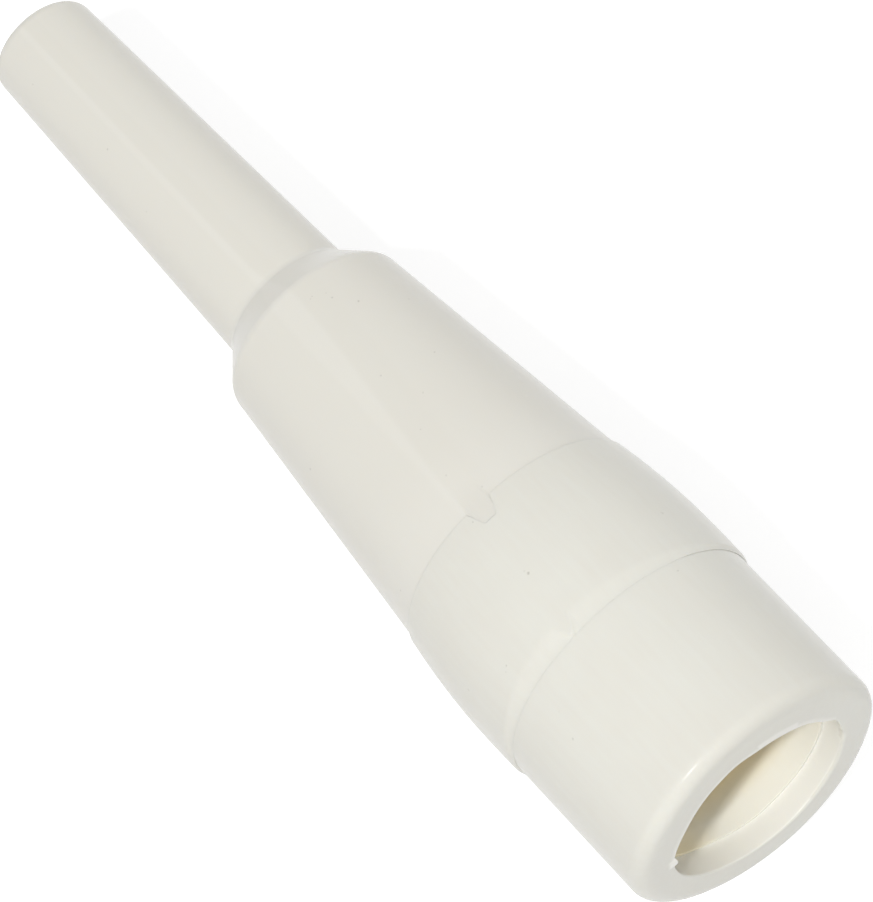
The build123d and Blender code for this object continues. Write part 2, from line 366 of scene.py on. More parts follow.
face_rows = [(mouth_face, mouth_radius + out * mm, 0) for out in (0.8, 1.1, 1.5, 2.0, 2.6, 3.1)]
bore_rows = [(mouth_face - back * mm, mouth_radius, 0) for back in (2.4, 1.7, 1.1, 0.75)]
collar_grooves = ((seal_high.x + groove_side, seal_low.x - groove_side, seal_floor),
                  (clip_high.x, clip_low.x, clip_floor))
collar_outline = rounded([
    *bore_rows,
    (mouth_face, mouth_radius, edge_rounding),
    *face_rows,
    (mouth_face, collar_radius, face_rounding),
    (collar_back, collar_radius, 0.02 * mm),
    (collar_back, neck_radius, groove_edge),
    *[(x, radius, groove_edge) for front, back, floor in collar_grooves
      for x, radius in ((front, neck_radius), (front, floor), (back, floor), (back, neck_radius))],
    (neck_back, neck_radius, 0.4 * mm),
    (neck_back, inlet_radius, 0.25 * mm),
    (sleeve_low.x, inlet_radius, 0.05 * mm),
    (sleeve_low.x, mouth_radius, 0.05 * mm),
])


def eased(share):
    """0 up to a share of 0, 1 from a share of 1, and smooth between."""
    share = min(1.0, max(0.0, share))
    return share * share * (3 - 2 * share)


corner_rounding = 2.1 * mm
rim_lean = 0.5 * mm
lip_height = 0.28 * mm
curl_angle, curl_width, curl_height = 187, 6, 0.42 * mm
nick_angle, nick_width, nick_depth = 5, 8, 0.18 * mm


def moulded_mouth(x, radius, angle):
    """The mouth as it came out of the mould: the face leans back on one side, the corners are
    tighter on top, and the trimmed gate left a swell, a curl of flash and a nick at the bore."""
    here = x
    out = radius
    ring_x = mouth_face - face_rounding
    ring_radius = collar_radius - face_rounding
    rim_x = mouth_face - edge_rounding
    rim_radius = mouth_radius + edge_rounding
    if x > ring_x - 0.01 * mm and radius > ring_radius - 0.01 * mm:
        swing = math.atan2(x - ring_x, radius - ring_radius)
        tight = (corner_rounding + 0.5 * mm * bump_between(angle, 225, 70)
                 - 0.3 * mm * bump_between(angle, 15, 30))
        here = mouth_face - tight + tight * math.sin(swing)
        out = collar_radius - tight + tight * math.cos(swing)
    elif x > rim_x - 0.01 * mm and radius < rim_radius + 0.01 * mm:
        share = min(1.0, 0.2 + 0.8 * bump_between(angle, 335, 75) + 0.35 * bump_between(angle, 240, 60))
        here = mouth_face + (x - mouth_face) * share
        out = mouth_radius + (radius - mouth_radius) * share
    front = max(0.0, 1 + (here - mouth_face) / (6 * mm))
    here -= rim_lean * bump_between(angle, 231, 84) * front * front
    lip = eased((angle - 30) / 30) * eased((150 - angle) / 40)
    here -= lip_height * lip * eased((radius - mouth_radius - 0.2 * mm) / (3.4 * mm)) * front * front
    at_bore = eased(1 - (out - mouth_radius) / (2.4 * mm)) * eased(1 + (x - mouth_face) / (2.6 * mm))
    if radius < collar_radius - 3.0 * mm:
        top = eased((angle - 27) / 16) * eased((115 - angle) / 22)
        swell = 0.85 * top + 0.25 * bump_between(angle, 80, 30)
        swell += 0.5 * bump_between(angle, 160, 32) + 0.25 * bump_between(angle, 125, 45)
        out -= swell * mm * at_bore
    at_edge = eased(1.4 - math.hypot(x - mouth_face, radius - mouth_radius) / (0.9 * mm))
    curl = bump_between(angle, curl_angle, curl_width) * at_edge
    here += (mouth_face - here) * min(1.0, 1.2 * curl) * (x > rim_x)
    out -= curl_height * curl
    out += nick_depth * bump_between(angle, nick_angle, nick_width) * at_edge
    return min(here, mouth_face), out


def lit_bore_and_flash_tone(x, radius, angle):
    """The bore's wall is painted paler for the light in it, and the curl of flash is whitened plastic."""
    on_curl = radius < mouth_radius + 0.85 * mm and bump_between(angle, curl_angle, curl_width) > 0.3
    return float(x > sleeve_low.x and (radius < mouth_radius + 0.05 * mm or on_curl))


mouth_collar = turned("mouth_collar_shell", collar_outline,
                      spokes(2.0, [(0, 12, 0.5), (110, 135, 1.0), (176, 200, 0.5)]), moulded_mouth)
# The collar's second tone paints light on the bore's wall and whitens the curl of flash.
tone(mouth_collar, lit_bore_and_flash_tone)
collar_plastic = moulded_plastic(
    "collar plastic", shell_light, shell_deep, shell_roughness, lit_bore_and_flash_pale,
    flecks_on(lambda x: collar_radius,
              ((-17.2, 149.6, 0.26, 0.45), (-24.2, 74.2, 0.24, 0.35), (-20.9, 145.8, 0.18, 0.2))))
fit(mouth_collar, collar_plastic, "mouth_collar", "collar")


# ------------------------------------------------------------------ inlet sleeve
# Cream liner of the mouth's bore, extruded in a softer plastic and cut to length by hand.
# It is pushed in to the collar's inner shoulder, and its lead-in stands back behind the rim.
sleeve_outer = sleeve_high.z
sleeve_edge = sleeve_high.x - 0.4 * mm
cut_lean = 0.65 * mm
liner_light = (0.89, 0.870, 0.775)
liner_deep = (0.88, 0.855, 0.755)
# Brownish yellow painted into the liner where shade falls, deep in the bore and on its lower side.
liner_shade_yellow = (0.95, 0.825, 0.545)


def cut_end(x, radius, angle):
    """The hand-cut front edge runs a little out of square."""
    front = max(0.0, 1 - (sleeve_edge - x) / (4 * mm))
    return x - cut_lean * bump_between(angle, 247, 42) * front, radius


def liner_painted_shade(x, radius, angle):
    """Painted shade: the liner goes yellower deep in the bore and on its lower side, in the rim's shadow."""
    return max(eased((-6 * mm - x) / (6 * mm)), 0.75 * bump_between(angle, 226, 42))


inlet_sleeve = turned("inlet_sleeve_liner", rounded([
    (sleeve_edge, sleeve_outer - 0.46 * mm, 0.05 * mm),
    (sleeve_edge, sleeve_outer, 0.03 * mm),
    (sleeve_low.x, sleeve_outer, 0.1 * mm),
    (sleeve_low.x, inlet_radius, 0.1 * mm),
    (sleeve_edge - 3.2 * mm, inlet_radius, 6.0 * mm),
]), spokes(2.0), cut_end)
# The liner's second tone is painted shade.
tone(inlet_sleeve, liner_painted_shade)
liner_plastic = moulded_plastic("cream liner", liner_light, liner_deep, 0.5, liner_shade_yellow)
fit(inlet_sleeve, liner_plastic, "inlet_sleeve", "collar")


# ------------------------------------------------------------------ collar seal
# Black rubber O-ring in the neck's groove, moulded in halves that left a thin flash line in
# front and behind. It seals the swivel and gives it a little drag.
def rubber(name):
    """Matt black rubber with a grey bloom and fine moulding grain."""
    material, tree, shader, place = finish(name)
    skin = node(tree, "ShaderNodeGroup", {"Position": place, "Cloud Size": 260.0, "Grain Size": 5000.0},
                node_tree=moulded_skin).outputs
    bloom = blended(tree, skin["Clouds"], (0.012, 0.012, 0.013), (0.045, 0.044, 0.043))
    wire(tree, blended(tree, skin["Scuffs"], bloom, (0.09, 0.088, 0.085)), shader["Base Color"])
    wire(tree, arithmetic(tree, "MULTIPLY_ADD", skin["Clouds"], 0.25, 0.45), shader["Roughness"])
    relief(tree, shader, skin["Grain"], 0.3, 0.02 * mm)
    return material


cord_radius = (seal_high.x - seal_low.x) / 2
seal_middle = (seal_high.x + seal_low.x) / 2
seal_centre = seal_high.z - cord_radius
flash_height = 0.03 * mm
cord_sides = 48
seal_outline = []
for step in range(cord_sides):
    swing = 2 * math.pi * step / cord_sides
    out = cord_radius - flash_height + (flash_height if step % 24 == 12 else 0.0)
    seal_outline.append((seal_middle + out * math.sin(swing), seal_centre + out * math.cos(swing)))
collar_seal = turned("collar_seal_ring", seal_outline, spokes(2.0))
seal_rubber = rubber("seal rubber")
fit(collar_seal, seal_rubber, "collar_seal", "collar")


# ------------------------------------------------------------------ flare casing
# Flared front casing, injection moulded like the collar. Its lip stands a little proud of the
# collar, and its back edge is notched for the tail casing's tongue.
flare_back = flare_low.x
flare_crown = flare_high.z
crown_x = flare_front - 3.75 * mm
flare_back_radius = 19.11 * mm
flare_front_radius = 20.42 * mm
flange_bore = 15.68 * mm
washer_low, washer_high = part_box("thrust_washer")
flange_back = washer_high.x + 0.15 * mm
chamber_radius = 16.9 * mm
baffle_low, baffle_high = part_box("front_baffle")
socket_radius = 17.6 * mm
flare_bulge = 0.43 * mm
tongue_angle = 113.5
tongue_length = 3.0 * mm
tongue_base, tongue_tip = 2.25 * mm, 0.8 * mm
tongue_circle = 19.2 * mm
easing_length = 7.5 * mm
inner_wall = 18.5 * mm
lip_radius = 20.1 * mm
lip_drop = 0.28
lip_soft_drop = 0.14
lip_run = 0.7
lip_soft_run = 2.5
cut_flash_angle, cut_flash_run = 120.9, 0.3


def flare_radius(x):
    """The flare's outer curve: steep at its back edge, level at its crown, easing in to the lip."""
    if x > crown_x:
        share = (x - crown_x) / (flare_front - crown_x)
        return flare_crown + (flare_front_radius - flare_crown) * share
    share = (x - flare_back) / (crown_x - flare_back)
    chord = flare_back_radius + (flare_crown - flare_back_radius) * share
    return min(flare_crown, chord + 4 * flare_bulge * share * (1 - share))


def tongue_reach(angle):
    """How far the rounded tongue reaches forward of the seam at an angle, in metres."""
    away = math.radians(abs((angle - tongue_angle + 180) % 360 - 180)) * tongue_circle
    return tongue_length * eased((tongue_base - away) / (tongue_base - tongue_tip))


back_rows = [flare_back + (crown_x - flare_back) * step / 16 for step in range(1, 17)]
lip_rows = [flare_front - 3.4 * mm * (step / 14) ** 1.6 for step in range(14, -1, -1)]
flare_outline = rounded([
    (flare_back, flare_back_radius, 0.08 * mm),
    *[(x, flare_radius(x), 0) for x in back_rows + lip_rows],
    (flare_front, flange_bore, 0.15 * mm),
    (flange_back, flange_bore, 0.15 * mm),
    (flange_back, chamber_radius, 0.1 * mm),
    (baffle_high.x, chamber_radius, 0.1 * mm),
    (baffle_high.x, socket_radius, 0.05 * mm),
    (flare_back, socket_radius, 0.1 * mm),
], row=1.2 * mm)


def notched_back(x, radius, angle):
    """Pulls the flare's back edge forward round the tongue, and eases its lip down to the collar.
    The lip ends sharper on the far sides, and at one place where the flash was cut."""
    here = x + tongue_reach(angle) * max(0.0, 1 - (x - flare_back) / easing_length)
    if radius < inner_wall:
        return here, radius
    out = radius + flare_radius(here) - flare_radius(x)
    if x < flare_back + 0.09 * mm and radius > flare_back_radius - 0.09 * mm and tongue_reach(angle) > 0:
        sharp = min(1.0, tongue_reach(angle) / (0.5 * mm))
        here += (flare_back + tongue_reach(angle) - here) * sharp
        out += max(0.0, flare_back_radius - radius) * sharp
    soft = bump_between(angle, 125, 85)
    run = lip_run + lip_soft_run * soft
    run -= (run - cut_flash_run) * bump_between(angle, cut_flash_angle, 5)
    level = lip_drop + lip_soft_drop * eased((angle - 62) / 14) * eased((196 - angle) / 14)
    drop = level * eased(1 - (flare_front - x) / (run * mm)) * mm
    return here, out - drop if radius > lip_radius else out


flare_casing = turned("flare_casing_shell", flare_outline, spokes(2.0, [(104, 128, 0.25)]), notched_back)
flare_plastic = moulded_plastic(
    "flare plastic", shell_light, shell_deep, shell_roughness,
    flecks=flecks_on(flare_radius, (
        (-36.3, 117.3, 0.30, 0.42), (-36.9, 117.9, 0.26, 0.22), (-30.6, 148.0, 0.22, 0.35),
        (-30.2, 150.2, 0.18, 0.3), (-33.0, 60.0, 0.34, 0.2), (-34.7, 172.6, 0.26, 0.3),
        (-46.6, 111.8, 0.22, 0.3), (-47.5, 119.5, 0.20, 0.35))))
fit(flare_casing, flare_plastic, "flare_casing", "muffler_body")


# ------------------------------------------------------------------ thrust washer
# White acetal washer behind the flange, with shallow grease grooves across its front face.
# The neck's retaining ring bears on it when the collar is pulled.
groove_count = 6
groove_depth = 0.18 * mm
washer_bore = neck_radius + 0.02 * mm


def greased_face(x, radius, angle):
    """Grease grooves in the washer's front face."""
    spacing = 360 / groove_count
    groove = bump_between(angle % spacing, spacing / 2, 5) if x > washer_high.x - 0.3 * mm else 0.0
    return x - groove_depth * groove, radius


washer_outline = square_ring(washer_high.x, washer_low.x, washer_high.z, washer_bore, 0.15 * mm, 0.12 * mm,
                             row=0.6 * mm, steps=4)
thrust_washer = turned("thrust_washer_ring", washer_outline, spokes(1.0), greased_face)
washer_plastic = moulded_plastic("acetal", (0.86, 0.86, 0.845), (0.82, 0.82, 0.80), 0.32, cloud_size=120.0)
fit(thrust_washer, washer_plastic, "thrust_washer", "collar")


# ------------------------------------------------------------------ collar retaining ring
# Open spring ring, coiled from flat steel strip and snapped into the neck's last groove. It
# holds the collar, its seal and the washer in the flange.
def open_ring(name, front, back, outer, inner, gap_middle, gap, edge):
    """Flat ring with rounded edges and an open gap, given in degrees."""
    section = square_ring(front, back, outer, inner, edge, edge, row=0.5 * mm, steps=3)
    shell = bmesh.new()
    count = 120
    first = gap_middle + gap / 2
    sweep = 360 - gap
    middle = Vector(((front + back) / 2, (outer + inner) / 2))
    rows = []
    for step in range(-2, count + 3):
        angle = math.radians(first + sweep * min(max(step, 0), count) / count)
        shrink = {-2: 0.82, -1: 0.95, count + 1: 0.95, count + 2: 0.82}.get(step, 1.0)
        inset = {0: 0.10, -1: 0.03, count: 0.10, count + 1: 0.03}.get(step, 0.0) * mm / outer
        angle += inset if step < count / 2 else -inset
        row = []
        for x, radius in section:
            spot = middle + (Vector((x, radius)) - middle) * shrink
            row.append(shell.verts.new((spot.x, spot.y * math.cos(angle), spot.y * math.sin(angle))))
        rows.append(row)
    skin_over(shell, rows)
    shell.faces.new(rows[0])
    shell.faces.new(rows[-1])
    bmesh.ops.recalc_face_normals(shell, faces=shell.faces)
    return finished(shell, name)


# Fine lines that drawing and rolling leave in steel, and the tone between them.
drawn_lines, given, gives = node_group(
    "drawn lines", "ShaderNodeTree", [("Position", "Vector"), ("Fineness", "Float", 4000.0)],
    [("Lines", "Float"), ("Tarnish", "Float")])
along_draw = stretched(drawn_lines, given["Position"], (1.0, 0.08, 0.08))
wire(drawn_lines, mottled(drawn_lines, along_draw, given["Fineness"], detail=4.0), gives["Lines"])
wire(drawn_lines, mottled(drawn_lines, given["Position"], 350.0, detail=3.0), gives["Tarnish"])


def steel(name, bright, dull, roughness, fineness):
    """Drawn or rolled steel between a bright and a tarnished tone."""
    material, tree, shader, place = finish(name)
    drawn = node(tree, "ShaderNodeGroup", {"Position": place, "Fineness": fineness},
                 node_tree=drawn_lines).outputs
    wire(tree, blended(tree, drawn["Tarnish"], bright, dull), shader["Base Color"])
    wire(tree, arithmetic(tree, "MULTIPLY_ADD", drawn["Lines"], 0.2, roughness - 0.1), shader["Roughness"])
    relief(tree, shader, drawn["Lines"], 0.2, 0.01 * mm)
    settle(shader, {"Metallic": 1.0})
    return material


collar_ring = open_ring("collar_retaining_clip", clip_high.x, clip_low.x, clip_high.z,
                        clip_floor + 0.02 * mm, gap_middle=270, gap=14.4, edge=0.12 * mm)
spring_steel = steel("spring steel", (0.62, 0.62, 0.61), (0.47, 0.46, 0.44), 0.30, 4000.0)
fit(collar_ring, spring_steel, "collar_retaining_ring", "collar")


# ------------------------------------------------------------------ front baffle
# Moulded disc against the flare's inner step, pierced by a ring of holes that let the air out
# of the mouth into the felt. The core tube's front end sits in its middle.
def round_and_along():
    """Tree that repeats the faces marked as tile round the X axis and in rows along it, and joins
    the copies to each other and to the rest of the mesh."""
    tree, given, gives = node_group(
        "round and along", "GeometryNodeTree",
        [("Geometry", "Geometry"), ("Around", "Int", 12), ("Rows", "Int", 1),
         ("Row Pitch", "Float", 4.5 * mm), ("Stagger", "Float", 0.0), ("Material", "Material")],
        [("Geometry", "Geometry")])
    marked = node(tree, "GeometryNodeInputNamedAttribute", {"Name": "tile"}, data_type="BOOLEAN")
    parts = node(tree, "GeometryNodeSeparateGeometry",
                 {"Geometry": given["Geometry"], "Selection": marked.outputs["Attribute"]},
                 domain="FACE").outputs
    places = node(tree, "GeometryNodeMeshLine",
                  {"Count": arithmetic(tree, "MULTIPLY", given["Around"], given["Rows"])})
    number = node(tree, "GeometryNodeInputIndex").outputs["Index"]
    row = arithmetic(tree, "FLOOR", arithmetic(tree, "DIVIDE", arithmetic(tree, "ADD", number, 0.5),
                                               given["Around"]))
    shift = arithmetic(tree, "MULTIPLY", arithmetic(tree, "MODULO", row, 2.0), given["Stagger"])
    turn = arithmetic(tree, "DIVIDE", arithmetic(tree, "ADD", number, shift), given["Around"])
    back_by = arithmetic(tree, "MULTIPLY", row, given["Row Pitch"])
    spot = node(tree, "ShaderNodeCombineXYZ", {"X": arithmetic(tree, "MULTIPLY", back_by, -1.0)})
    moved = node(tree, "GeometryNodeSetPosition",
                 {"Geometry": places.outputs["Mesh"], "Position": spot.outputs[0]})
    spin = node(tree, "ShaderNodeCombineXYZ", {"X": arithmetic(tree, "MULTIPLY", turn, 2 * math.pi)})
    copies = node(tree, "GeometryNodeInstanceOnPoints",
                  {"Points": moved.outputs["Geometry"], "Instance": parts["Selection"],
                   "Rotation": spin.outputs[0]})
    whole = node(tree, "GeometryNodeJoinGeometry", {"Geometry": copies.outputs["Instances"]})
    wire(tree, parts["Inverted"], whole.inputs["Geometry"])
    real = node(tree, "GeometryNodeRealizeInstances", {"Geometry": whole.outputs["Geometry"]})
    merged = node(tree, "GeometryNodeMergeByDistance",
                  {"Geometry": real.outputs["Geometry"], "Distance": 0.004 * mm})
    painted = node(tree, "GeometryNodeSetMaterial",
                   {"Geometry": merged.outputs["Geometry"], "Material": given["Material"]})
    wire(tree, painted.outputs["Geometry"], gives["Geometry"])
    return tree


def grown(piece, tree, **given):
    """Runs a Geometry Nodes tree on a piece and keeps the result as its plain mesh. Inputs are
    named as in the tree, with underscores for spaces."""
    modifier = piece.modifiers.new("growing", "NODES")
    modifier.node_group = tree
    for item in tree.interface.items_tree:
        wanted = item.name.replace(" ", "_")
        if item.item_type == "SOCKET" and item.in_out == "INPUT" and wanted in given:
            modifier[item.identifier] = given[wanted]
    evaluated = piece.evaluated_get(bpy.context.evaluated_depsgraph_get())
    mesh = bpy.data.meshes.new_from_object(evaluated)
    piece.modifiers.clear()
    piece.data = mesh
    shell = bmesh.new()
    shell.from_mesh(mesh)
    bmesh.ops.recalc_face_normals(shell, faces=shell.faces)
    for face in shell.faces:
        face.smooth = True
    shell.to_mesh(mesh)
    shell.free()
    return piece


def pierced(name, rims, spread, low, high, hole, put, step=2.5, edge=0.15 * mm):
    """One tile with a hole in its middle, marked for repeating, and the plain rims beside it.
    The tile spans an angle round the axis and runs from low to high across it. put turns an
    angle in degrees, a place across and a side from 0 to 1 into a point. Each rim is an open
    outline of (x, radius) points."""
    shell = bmesh.new()
    marked = shell.faces.layers.bool.new("tile")
    middle = (low + high) / 2
    sides = 6
    arcs = round(spread / step)
    border = [(-spread / 2 + step * place, high) for place in range(arcs)]
    border += [(spread / 2, high + (low - high) * place / sides) for place in range(sides)]
    border += [(spread / 2 - step * place, low) for place in range(arcs)]
    border += [(-spread / 2, low + (high - low) * place / sides) for place in range(sides)]
    centre = Vector(put(0, middle, 0.5))
    ahead = (Vector(put(0, high, 0.5)) - centre).normalized()
    aside = (Vector(put(1, middle, 0.5)) - centre).normalized()
    levels = (1, 1, 1, 0.93, 0.07, 0, 0, 0)
    grow = (None, 2.6 * edge, edge, 0.0, 0.0, edge, 2.6 * edge, None)
    rows = []
    for angle, across in border:
        outer = Vector(put(angle, across, 0.5)) - centre
        way = Vector((outer.dot(aside), outer.dot(ahead))).normalized()
        row = []
        for level, extra in zip(levels, grow):
            if extra is None:
                row.append(shell.verts.new(put(angle, across, level)))
            else:
                row.append(shell.verts.new(put(*around_hole(put, middle, way, hole + extra), level)))
        rows.append(row)
    for this, after in zip(rows, rows[1:] + rows[:1]):
        for place in range(len(grow) - 1):
            face = shell.faces.new((this[place], after[place], after[place + 1], this[place + 1]))
            face[marked] = True
    for outline in rims:
        ring_rows = []
        for x, radius in outline:
            ring_rows.append([shell.verts.new((x, radius * math.cos(turn), radius * math.sin(turn)))
                              for turn in (math.radians(spread / 2 + step * place)
                                           for place in range(round(360 / step)))])
        skin_over(shell, ring_rows)
    bmesh.ops.remove_doubles(shell, verts=shell.verts, dist=1e-8)
    return finished(shell, name)


def around_hole(put, middle, way, reach):
    """Angle in degrees and place across of a point beside the hole's middle."""
    centre = Vector(put(0, middle, 0.5))
    ahead = (Vector(put(0, middle + 1 * mm, 0.5)) - centre).normalized()
    if abs(ahead.x) > 0.5:
        radius = centre.yz.length
        return math.degrees(way.x * reach / radius), middle + way.y * reach * math.copysign(1, ahead.x)
    side = way.x * reach
    out = middle + way.y * reach
    return math.degrees(math.atan2(side, out)), math.hypot(side, out)


core_low, core_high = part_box("perforated_core_tube")
core_radius = core_high.z
baffle_radius = baffle_high.z
hole_circle = 11.8 * mm
baffle_hole = 1.5 * mm
tile_half = 2.6 * mm
tile_low = hole_circle - tile_half
tile_high = hole_circle + tile_half


def on_disc(front, back):
    """Places a tile's points on a flat disc, its side 0 at the back and 1 at the front."""
    def put(angle, radius, side):
        turn = math.radians(angle)
        return back + (front - back) * side, radius * math.cos(turn), radius * math.sin(turn)
    return put


def rim(front, back, start, finish, edge):
    """Open outline of a disc's rim, from its front face at the start radius round and back."""
    way = math.copysign(1, finish - start)
    outline = [(front, start), (front, finish - way * 2 * edge)]
    for x, side in ((front - edge, 1), (back + edge, -1)):
        for place in range(5):
            swing = math.pi / 2 * (place / 4 if side > 0 else 1 - place / 4)
            outline.append((x + side * edge * math.cos(swing), finish - way * edge * (1 - math.sin(swing))))
    outline += [(back, finish - way * 2 * edge), (back, start)]
    return outline


repeat_tree = round_and_along()
front_baffle = pierced("front_baffle_disc",
                       [rim(baffle_high.x, baffle_low.x, tile_high, baffle_radius, 0.2 * mm),
                        rim(baffle_high.x, baffle_low.x, tile_low, core_radius + 0.02 * mm, 0.15 * mm)],
                       30, tile_low, tile_high, baffle_hole, on_disc(baffle_high.x, baffle_low.x))
baffle_plastic = moulded_plastic("baffle plastic", (0.80, 0.755, 0.655), (0.765, 0.715, 0.61), 0.5,
                                 cloud_size=110.0)
grown(front_baffle, repeat_tree, Around=12, Rows=1, Material=baffle_plastic)
fit(front_baffle, baffle_plastic, "front_baffle", "muffler_body")


# ------------------------------------------------------------------ casing seal
# Flat rubber gasket, punched from sheet and nipped between the baffle and the tail's spigot.
# It keeps the air from leaking out at the seam.
gasket_low, gasket_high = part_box("casing_seal")
spigot_bore = 16.0 * mm
casing_seal = turned("casing_seal_gasket", rounded([
    (gasket_high.x, spigot_bore, 0.05 * mm),
    (gasket_high.x, gasket_high.z, 0.12 * mm),
    (gasket_low.x, gasket_high.z, 0.05 * mm),
    (gasket_low.x, spigot_bore, 0.12 * mm),
], row=0.5 * mm, steps=3), spokes(2.0))
fit(casing_seal, seal_rubber, "casing_seal", "muffler_body")


# ------------------------------------------------------------------ perforated core tube
# Moulded tube down the middle, with rows of round holes that turn the air outwards. It stands
# in the front baffle, and the rear baffle's boss closes its far end.
core_bore = 5.2 * mm
hole_rows = 9
row_pitch = 4.5 * mm
first_row = baffle_low.x - row_pitch
field_front = first_row + row_pitch / 2
field_back = field_front - hole_rows * row_pitch


def on_tube(angle, x, side):
    """Places a tile's points on the tube's wall, its side 0 inside and 1 outside."""
    turn = math.radians(angle)
    radius = core_bore + (core_radius - core_bore) * side
    return x, radius * math.cos(turn), radius * math.sin(turn)


def tube_end(start, finish, edge):
    """Open outline of the tube's plain end, from the outside at the start round to the inside."""
    return [(x, radius) for radius, x in rim(core_radius, core_bore, start, finish, edge)]


core_tube = pierced("core_tube", [tube_end(field_front, core_high.x, 0.2 * mm),
                                  tube_end(field_back, core_low.x, 0.2 * mm)],
                    60, first_row - row_pitch / 2, field_front, 1.0 * mm, on_tube, step=3, edge=0.12 * mm)
core_plastic = moulded_plastic("core plastic", (0.80, 0.77, 0.69), (0.76, 0.73, 0.64), 0.45,
                               cloud_size=140.0)
grown(core_tube, repeat_tree, Around=6, Rows=hole_rows, Row_Pitch=row_pitch, Stagger=0.5,
      Material=core_plastic)
fit(core_tube, core_plastic, "perforated_core_tube", "muffler_body")


# ------------------------------------------------------------------ core gauze sleeve
# Fine steel gauze, woven flat and rolled round the core tube. It keeps loose felt out of the
# tube's holes.
def woven_wires():
    """Tree that weaves a flat patch of gauze in the XY plane. A blank radius cuts it round."""
    tree, given, gives = node_group(
        "woven wires", "GeometryNodeTree",
        [("Geometry", "Geometry"), ("Wires", "Int", 13), ("Cross Wires", "Int", 13),
         ("Pitch", "Float", 0.8 * mm), ("Wire Radius", "Float", 0.12 * mm), ("Wave", "Float", 0.12 * mm),
         ("Blank Radius", "Float", 0.0), ("Steps", "Int", 4), ("Material", "Material")],
        [("Geometry", "Geometry")])

    def sum_of(operation, *values):
        return arithmetic(tree, operation, *values)

    pitch = given["Pitch"]
    blank = given["Blank Radius"]
    whole = node(tree, "GeometryNodeJoinGeometry", {"Geometry": given["Geometry"]})
    for count, other, crossing in (("Wires", "Cross Wires", False), ("Cross Wires", "Wires", True)):
        middle = sum_of("FLOOR", sum_of("DIVIDE", given[count], 2.0))
        places = node(tree, "GeometryNodeMeshLine", {"Count": given[count]})
        number = node(tree, "GeometryNodeInputIndex").outputs["Index"]
        aside = sum_of("MULTIPLY", sum_of("SUBTRACT", number, middle), pitch)
        spot = node(tree, "ShaderNodeCombineXYZ", {"Y": aside})
        moved = node(tree, "GeometryNodeSetPosition",
                     {"Geometry": places.outputs["Mesh"], "Position": spot.outputs[0]})
        samples = sum_of("MULTIPLY", given[other], given["Steps"])
        strand = node(tree, "GeometryNodeMeshLine",
                      {"Count": sum_of("ADD", samples, 1.0), "Start Location": (-1, 0, 0),
                       "Offset": (1, 0, 0)}, mode="END_POINTS")
        copies = node(tree, "GeometryNodeInstanceOnPoints",
                      {"Points": moved.outputs["Geometry"], "Instance": strand.outputs["Mesh"]})
        real = node(tree, "GeometryNodeRealizeInstances", {"Geometry": copies.outputs["Instances"]})
        curve = node(tree, "GeometryNodeMeshToCurve", {"Mesh": real.outputs["Geometry"]})
        here = node(tree, "ShaderNodeSeparateXYZ",
                    {0: node(tree, "GeometryNodeInputPosition").outputs[0]}).outputs
        straight = sum_of("MULTIPLY", sum_of("MULTIPLY", given[other], pitch), 0.5)
        squared = sum_of("SUBTRACT", sum_of("POWER", blank, 2.0), sum_of("MULTIPLY", here["Y"], here["Y"]))
        chord = sum_of("SQRT", sum_of("MAXIMUM", squared, 0.0))
        round_cut = sum_of("GREATER_THAN", blank, 0.0)
        half = sum_of("ADD", sum_of("MULTIPLY", chord, round_cut),
                      sum_of("MULTIPLY", straight, sum_of("SUBTRACT", 1.0, round_cut)))
        along = sum_of("MULTIPLY", here["X"], half)
        phase = sum_of("DIVIDE", sum_of("ADD", along, here["Y"]), pitch)
        swing = sum_of("COSINE", sum_of("MULTIPLY", phase, math.pi))
        height = sum_of("MULTIPLY", sum_of("MULTIPLY", swing, given["Wave"]), -1.0 if crossing else 1.0)
        woven = node(tree, "ShaderNodeCombineXYZ",
                     {"Y" if crossing else "X": along, "X" if crossing else "Y": here["Y"], "Z": height})
        laid = node(tree, "GeometryNodeSetPosition",
                    {"Geometry": curve.outputs["Curve"], "Position": woven.outputs[0]})
        section = node(tree, "GeometryNodeCurvePrimitiveCircle",
                       {"Resolution": 6, "Radius": given["Wire Radius"]})
        tube = node(tree, "GeometryNodeCurveToMesh",
                    {"Curve": laid.outputs["Geometry"], "Profile Curve": section.outputs["Curve"],
                     "Fill Caps": True})
        wire(tree, tube.outputs["Mesh"], whole.inputs["Geometry"])
    real = node(tree, "GeometryNodeRealizeInstances", {"Geometry": whole.outputs["Geometry"]})
    painted = node(tree, "GeometryNodeSetMaterial",
                   {"Geometry": real.outputs["Geometry"], "Material": given["Material"]})
    wire(tree, painted.outputs["Geometry"], gives["Geometry"])
    return tree


weave_tree = woven_wires()
wire_steel = steel("wire steel", (0.60, 0.60, 0.59), (0.42, 0.415, 0.40), 0.34, 9000.0)
gauze_low, gauze_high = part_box("core_gauze_sleeve")
gauze_wire = 0.1 * mm
gauze_middle = (core_radius + gauze_high.z) / 2 + 0.01 * mm
gauze_around = 30
gauze_pitch = 2 * math.pi * gauze_middle / gauze_around
gauze_hoops = int((gauze_high.x - gauze_low.x) / gauze_pitch) - 1
core_gauze = grown(placed("core_gauze_weave", bpy.data.meshes.new("core_gauze_weave")), weave_tree,
                   Wires=gauze_around, Cross_Wires=gauze_hoops, Pitch=gauze_pitch, Steps=4,
                   Wire_Radius=gauze_wire, Wave=gauze_wire * 0.9, Material=wire_steel)
gauze_centre = (gauze_low.x + gauze_high.x) / 2
for point in core_gauze.data.vertices:
    angle = point.co.y / gauze_middle
    radius = gauze_middle + point.co.z
    point.co = (gauze_centre + point.co.x, radius * math.sin(angle), radius * math.cos(angle))
fit(core_gauze, wire_steel, "core_gauze_sleeve", "muffler_body")


